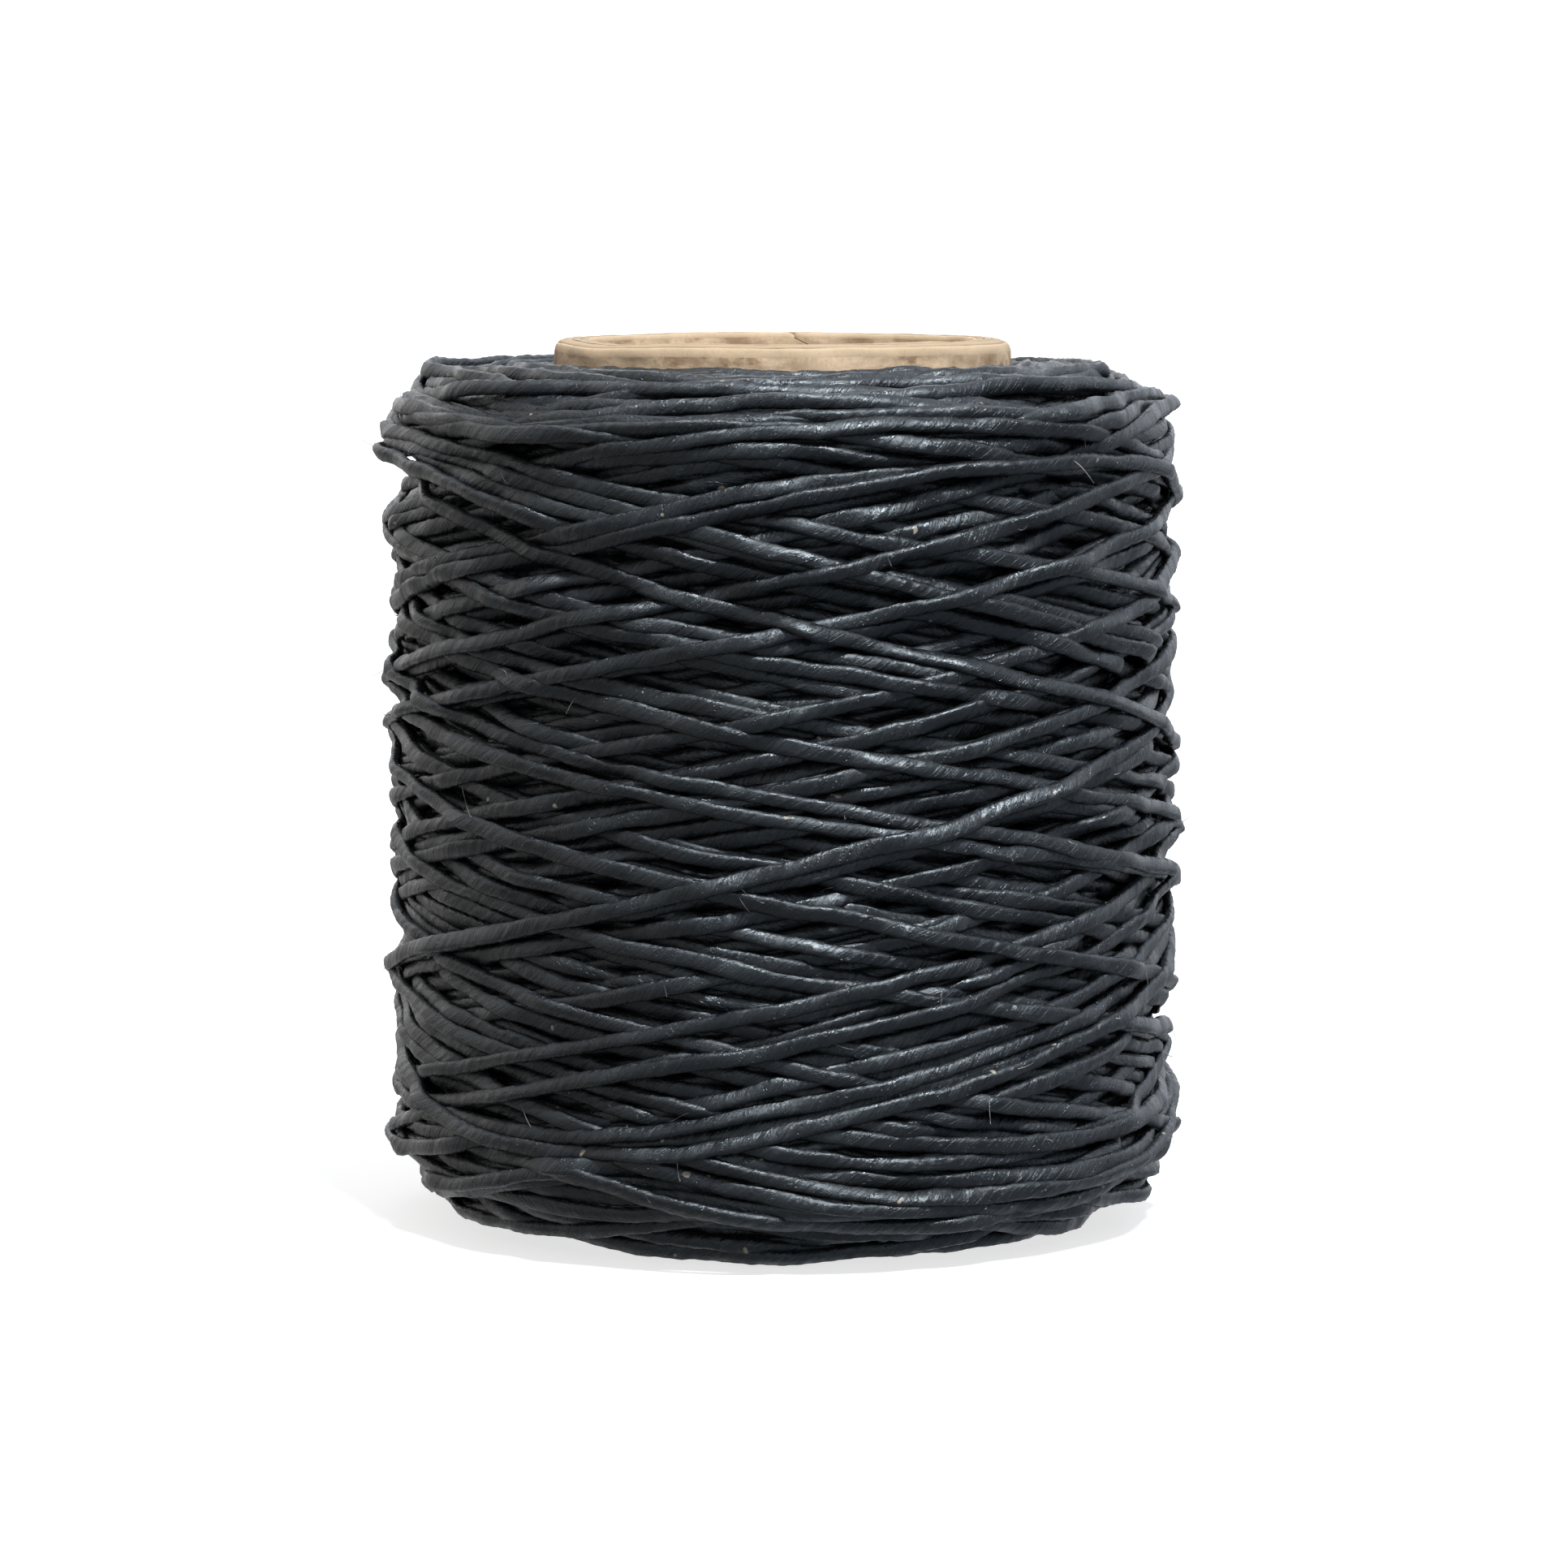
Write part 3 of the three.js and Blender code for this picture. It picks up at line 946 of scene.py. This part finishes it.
def thread_material():
    """Black waxed filaments in three plies, drawn together by a slight twist."""
    nodes = Nodes(bpy.data.materials.new("waxed_thread"))
    strand = nodes.add("ShaderNodeAttribute", attribute_name="strand").outputs["Vector"]
    place = nodes.add("ShaderNodeTexCoord").outputs["Object"]
    filaments = nodes.noise(nodes.stretch(strand, (0.10, 1, 1)), 4.6, 3)
    splits = nodes.noise(nodes.stretch(strand, (0.06, 1, 1)), 1.7, 1)
    fine = nodes.noise(nodes.stretch(strand, (0.30, 1, 1)), 12.0, 2)
    lumps = nodes.noise(nodes.stretch(strand, (0.9, 1, 1)), 1.1, 2)
    gloss = nodes.noise(nodes.stretch(strand, (0.12, 0.4, 0.4)), 1.0, 2)
    clouds = nodes.noise(place, 90.0, 3)
    grain = nodes.noise(place, 5200.0, 2)

    base = nodes.ramp(
        filaments,
        [(0.36, (0.0020, 0.0028, 0.0046)), (0.66, (0.0120, 0.0143, 0.0178))],
    )
    base = nodes.mix(
        nodes.remap(clouds, (0.45, 0.75), (0, 0.35)), base, (0.013, 0.012, 0.011, 1)
    )
    specks = nodes.noise(place, 900.0, 1)
    base = nodes.mix(
        nodes.remap(specks, (0.775, 0.80), (0, 0.8)), base, (0.34, 0.29, 0.22, 1)
    )
    nodes.plug("Base Color", base)
    nodes.plug("Roughness", nodes.remap(gloss, (0.40, 0.62), (0.20, 0.48)))
    nodes.plug("Specular IOR Level", 0.75)
    nodes.plug("Specular Tint", (0.80, 0.92, 1.0, 1))
    nodes.plug("Sheen Weight", 0.02)
    nodes.plug("Sheen Roughness", 0.4)
    relief = nodes.bump(nodes.ply_height(strand), 0.9, 0.028 * MM)
    groove = nodes.remap(splits, (0.49, 0.53), (0, 1))
    relief = nodes.bump(groove, 0.8, 0.045 * MM, relief)
    relief = nodes.bump(lumps, 0.8, 0.10 * MM, relief)
    relief = nodes.bump(filaments, 1.0, 0.042 * MM, relief)
    relief = nodes.bump(fine, 0.8, 0.020 * MM, relief)
    relief = nodes.bump(grain, 0.5, 0.010 * MM, relief)
    nodes.plug("Normal", relief)
    return nodes.owner


def paper_material(name, face, stain, lit_cream, edge):
    """Pressed paper with mottled stains, lighter towards the core's top as painted light
    from above, and dull cut edges.
    """
    nodes = Nodes(bpy.data.materials.new(name))
    place = nodes.add("ShaderNodeTexCoord").outputs["Object"]
    cut = nodes.add("ShaderNodeAttribute", attribute_name="cut").outputs["Fac"]
    clouds = nodes.noise(place, 150.0, 4, 0.6)
    blotches = nodes.noise(nodes.stretch(place, (1, 1, 1.5)), 310.0, 5, 0.66)
    mottle = nodes.noise(nodes.stretch(place, (1, 1, 1.5)), 900.0, 3, 0.6)
    fibre = nodes.noise(nodes.stretch(place, (1, 1, 0.35)), 5200.0, 2)
    height = nodes.add("ShaderNodeSeparateXYZ", {"Vector": place}).outputs["Z"]
    # Painted light: towards the core's top end the paper is mixed, in patches, with its
    # cream colour, which stands in for light from above.
    near_end = nodes.remap(height, (PACKAGE_TOP - 0.6 * MM, CORE_LENGTH), (0, 0.95))
    painted_top_light = nodes.math("MULTIPLY", near_end, nodes.remap(clouds, (0.40, 0.62), (1, 0.35)))
    soiled = nodes.math("MULTIPLY", nodes.remap(clouds, (0.38, 0.58), (0.15, 1)), 0.85)
    soiled = nodes.math("MULTIPLY", soiled, nodes.remap(blotches, (0.44, 0.57), (0, 1)))
    lower = nodes.remap(height, (PACKAGE_TOP, CORE_LENGTH), (1.15, 0.75))
    soiled = nodes.math("MULTIPLY", soiled, lower)
    in_bore = nodes.remap(height, (PACKAGE_TOP - 6 * MM, PACKAGE_TOP), (0.4, 1))
    soiled = nodes.math("MULTIPLY", soiled, in_bore)
    base = nodes.mix(painted_top_light, face, lit_cream)
    base = nodes.mix(nodes.remap(mottle, (0.45, 0.75), (0, 0.35)), base, stain)
    base = nodes.mix(soiled, base, stain)
    base = nodes.mix(nodes.math("MULTIPLY", cut, 0.85), base, edge)
    base = nodes.mix(nodes.remap(fibre, (0.55, 0.8), (0, 0.30)), base, stain)
    nodes.plug("Base Color", base)
    nodes.plug("Roughness", nodes.remap(mottle, (0.3, 0.7), (0.72, 0.92)))
    nodes.plug("Specular IOR Level", 0.25)
    relief = nodes.bump(blotches, 0.5, 0.12 * MM)
    relief = nodes.bump(mottle, 0.6, 0.05 * MM, relief)
    relief = nodes.bump(fibre, 0.6, 0.02 * MM, relief)
    nodes.plug("Normal", relief)
    return nodes.owner


def fibre_material():
    """Loose grey filaments, dusted with wax."""
    nodes = Nodes(bpy.data.materials.new("stray_fibre"))
    place = nodes.add("ShaderNodeTexCoord").outputs["Object"]
    shade = nodes.noise(place, 700.0, 2)
    stops = [(0.4, (0.06, 0.062, 0.066)), (0.6, (0.32, 0.30, 0.28))]
    nodes.plug("Base Color", nodes.ramp(shade, stops))
    nodes.plug("Roughness", nodes.remap(shade, (0.3, 0.7), (0.4, 0.6)))
    return nodes.owner


# --- Scene -------------------------------------------------------------------


def add_floor():
    """Pale floor that glows a little, so that shadows on it stay faint."""
    square = [[-1, -1, 0], [1, -1, 0], [1, 1, 0], [-1, 1, 0]]
    corners = np.array(square) * FLOOR_SIZE
    corners[:, 2] = cad_box[0][2]
    floor = new_mesh_object("floor", corners, np.array([[0, 1, 2, 3]]))
    nodes = Nodes(bpy.data.materials.new("studio_floor"))
    nodes.plug("Base Color", FLOOR_GREY)
    nodes.plug("Emission Color", (1, 1, 1, 1))
    nodes.plug("Emission Strength", FLOOR_GLOW)
    nodes.plug("Roughness", 0.9)
    floor.data.materials.append(nodes.owner)
    floor.visible_diffuse = False
    floor.visible_glossy = False


def add_sun():
    """Crisp light from above and in front, for the thread's glints."""
    data = bpy.data.lights.new("overhead", "SUN")
    data.energy = SUN_STRENGTH
    data.angle = SUN_ANGLE
    lamp = bpy.data.objects.new("overhead", data)
    lamp.rotation_euler = Vector(SUN_TOWARDS).to_track_quat("Z", "Y").to_euler()
    bpy.context.scene.collection.objects.link(lamp)


def add_world():
    """Bright above and behind, warm on the left, with a white backdrop."""
    world = bpy.data.worlds.new("studio")
    bpy.context.scene.world = world
    nodes = Nodes(world, "Background")
    place = nodes.add("ShaderNodeTexCoord").outputs["Generated"]
    split = nodes.add("ShaderNodeSeparateXYZ", {"Vector": place}).outputs
    elevation = nodes.remap(split["Z"], (-1, 1), (0, 1))
    sky = nodes.ramp(elevation, [(0.5 + 0.5 * z, [bright] * 3) for z, bright in SKY])
    depth = nodes.remap(split["Y"], (-1, 1), (0, 1))
    around = nodes.curve(depth, [(0.5 + 0.5 * y, share) for y, share in AROUND], 2.0)
    scaled = nodes.add("ShaderNodeVectorMath", {0: sky, "Scale": around}, operation="SCALE")
    tint = nodes.mix(nodes.remap(split["X"], TINTED_SIDES, (0, 1)), WARM_SIDE, COOL_SIDE)
    tinted = nodes.stretch(scaled.outputs["Vector"], tint)
    seen = nodes.add("ShaderNodeLightPath").outputs["Is Camera Ray"]
    nodes.plug("Color", nodes.mix(seen, tinted, (BACKDROP, BACKDROP, BACKDROP, 1)))


def add_camera():
    """The photo's view: in front, a little above, looking slightly down."""
    data = bpy.data.cameras.new("camera")
    data.sensor_width = 36
    data.lens = CAMERA_LENS
    data.shift_x = CAMERA_SHIFT[0]
    data.shift_y = CAMERA_SHIFT[1]
    data.clip_start = 0.01
    camera = bpy.data.objects.new("camera", data)
    camera.location = (0, -CAMERA_DISTANCE, CAMERA_HEIGHT)
    camera.rotation_euler = (math.pi / 2 - CAMERA_PITCH, 0, 0)
    bpy.context.scene.collection.objects.link(camera)
    bpy.context.scene.camera = camera


seen_thread, thread_pieces = build_thread()
waxed = thread_material()
for piece in thread_pieces:
    piece.data.materials.append(waxed)
fibres = build_fibres(seen_thread)
fibres.data.materials.append(fibre_material())
for piece in [*thread_pieces, fibres]:
    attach(piece, "root")

kraft = paper_material("kraft", **KRAFT)
board = paper_material("board", **BOARD)
for ply, node in build_core():
    is_board = "ply" in node
    ply.data.materials.append(board if is_board else kraft)
    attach(ply, "root")

add_floor()
add_camera()
add_sun()
add_world()
bpy.context.scene.view_settings.view_transform = "Standard"
